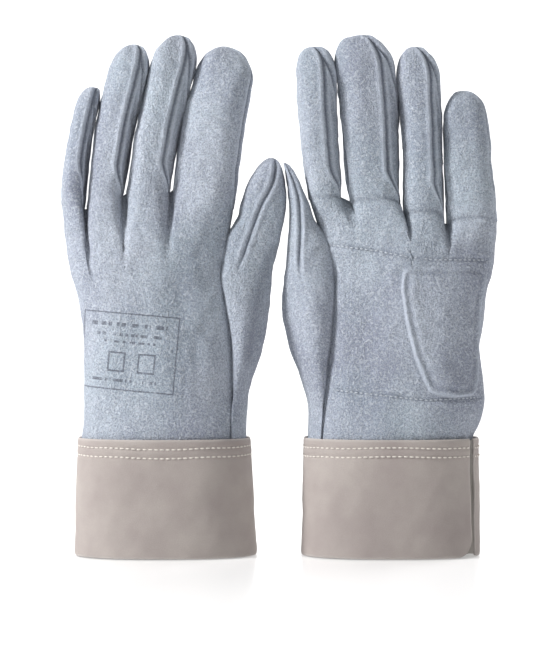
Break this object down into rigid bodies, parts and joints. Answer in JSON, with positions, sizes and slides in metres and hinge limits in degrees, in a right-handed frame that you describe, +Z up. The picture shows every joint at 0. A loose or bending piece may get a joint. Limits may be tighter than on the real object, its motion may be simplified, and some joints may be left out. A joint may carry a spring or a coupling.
{
  "type": "welding gloves",
  "caption": "Pair of suede split-leather work gloves with stitched stiff canvas cuffs, standing upright, with folding fingers and thumbs.",
  "frame": {"origin": "centre of the pair's box, on the surface that the cuffs stand on", "axes": "+Z up from the cuffs to the fingertips, +X from the first glove to the second, -Y towards the viewer, who sees the first glove's back and the second glove's palm"},
  "size_m": [0.2322, 0.0644, 0.277],
  "materials": {
    "split_leather": "matt blue-grey suede with a short raised nap",
    "pad_leather": "matt blue-grey suede over thin foam",
    "cuff_canvas": "stiff rubberised canvas, fine matt grain",
    "cuff_lining": "plain undyed canvas",
    "cotton_lining": "soft undyed cotton",
    "stitch_thread": "twisted off-white thread"
  },
  "bodies": {
    "glove_a_hand": {"a_back_panel": "split_leather", "a_cuff": "cuff_canvas", "a_cuff_lining": "cuff_lining", "a_cuff_thread_lower": "stitch_thread", "a_cuff_thread_upper": "stitch_thread", "a_heel_pad": "pad_leather", "a_index_side": "split_leather", "a_palm_lining": "cotton_lining", "a_palm_panel": "split_leather", "a_thumb_base_back": "split_leather", "a_thumb_base_palm": "split_leather"},
    "glove_a_index": {"a_index_back": "split_leather", "a_index_fork": "split_leather", "a_index_palm": "split_leather"},
    "glove_a_middle": {"a_middle_back": "split_leather", "a_middle_fork_little_side": "split_leather", "a_middle_fork_thumb_side": "split_leather", "a_middle_palm": "split_leather"},
    "glove_a_ring": {"a_ring_back": "split_leather", "a_ring_fork_little_side": "split_leather", "a_ring_fork_thumb_side": "split_leather", "a_ring_palm": "split_leather"},
    "glove_a_little": {"a_little_back": "split_leather", "a_little_fork": "split_leather", "a_little_palm": "split_leather"},
    "glove_a_thumb": {"a_thumb_back": "split_leather", "a_thumb_palm": "split_leather"},
    "glove_b_hand": {"b_back_panel": "split_leather", "b_cuff": "cuff_canvas", "b_cuff_lining": "cuff_lining", "b_cuff_thread_lower": "stitch_thread", "b_cuff_thread_upper": "stitch_thread", "b_heel_pad": "pad_leather", "b_index_side": "split_leather", "b_palm_lining": "cotton_lining", "b_palm_panel": "split_leather", "b_thumb_base_back": "split_leather", "b_thumb_base_palm": "split_leather"},
    "glove_b_index": {"b_index_back": "split_leather", "b_index_fork": "split_leather", "b_index_palm": "split_leather"},
    "glove_b_middle": {"b_middle_back": "split_leather", "b_middle_fork_little_side": "split_leather", "b_middle_fork_thumb_side": "split_leather", "b_middle_palm": "split_leather"},
    "glove_b_ring": {"b_ring_back": "split_leather", "b_ring_fork_little_side": "split_leather", "b_ring_fork_thumb_side": "split_leather", "b_ring_palm": "split_leather"},
    "glove_b_little": {"b_little_back": "split_leather", "b_little_fork": "split_leather", "b_little_palm": "split_leather"},
    "glove_b_thumb": {"b_thumb_back": "split_leather", "b_thumb_palm": "split_leather"}
  },
  "joints": [
    {"name": "pair_slide", "type": "slide", "parent": "glove_a_hand", "child": "glove_b_hand", "axis": [1, 0, 0], "range_m": [0, 0.12]},
    {"name": "glove_a_index_fold", "type": "hinge", "parent": "glove_a_hand", "child": "glove_a_index", "pos_m": [-0.04104, 0.0131, 0.18722], "axis": [-0.9781, 0, 0.2079], "range_deg": [0, 70]},
    {"name": "glove_a_middle_fold", "type": "hinge", "parent": "glove_a_hand", "child": "glove_a_middle", "pos_m": [-0.07043, 0.0131, 0.18886], "axis": [-0.9781, 0, 0.2079], "range_deg": [0, 70]},
    {"name": "glove_a_ring_fold", "type": "hinge", "parent": "glove_a_hand", "child": "glove_a_ring", "pos_m": [-0.09365, 0.0126, 0.18306], "axis": [-0.9781, 0, 0.2079], "range_deg": [0, 70]},
    {"name": "glove_a_little_fold", "type": "hinge", "parent": "glove_a_hand", "child": "glove_a_little", "pos_m": [-0.11005, 0.0116, 0.18502], "axis": [-0.9781, 0, 0.2079], "range_deg": [0, 70]},
    {"name": "glove_a_thumb_fold", "type": "hinge", "parent": "glove_a_hand", "child": "glove_a_thumb", "pos_m": [-0.01533, 0.0136, 0.15159], "axis": [-0.9781, 0, 0.2079], "range_deg": [0, 50]},
    {"name": "glove_b_index_fold", "type": "hinge", "parent": "glove_b_hand", "child": "glove_b_index", "pos_m": [0.02439, -0.0131, 0.18886], "axis": [0.9981, 0, 0.0611], "range_deg": [0, 70]},
    {"name": "glove_b_middle_fold", "type": "hinge", "parent": "glove_b_hand", "child": "glove_b_middle", "pos_m": [0.0513, -0.0131, 0.1855], "axis": [0.9981, 0, 0.0611], "range_deg": [0, 70]},
    {"name": "glove_b_ring_fold", "type": "hinge", "parent": "glove_b_hand", "child": "glove_b_ring", "pos_m": [0.07721, -0.0126, 0.17706], "axis": [0.9981, 0, 0.0611], "range_deg": [0, 70]},
    {"name": "glove_b_little_fold", "type": "hinge", "parent": "glove_b_hand", "child": "glove_b_little", "pos_m": [0.1028, -0.0121, 0.17562], "axis": [0.9981, 0, 0.0611], "range_deg": [0, 70]},
    {"name": "glove_b_thumb_fold", "type": "hinge", "parent": "glove_b_hand", "child": "glove_b_thumb", "pos_m": [0.01406, -0.0131, 0.14984], "axis": [0.9703, 0, 0.2419], "range_deg": [0, 50]}
  ]
}
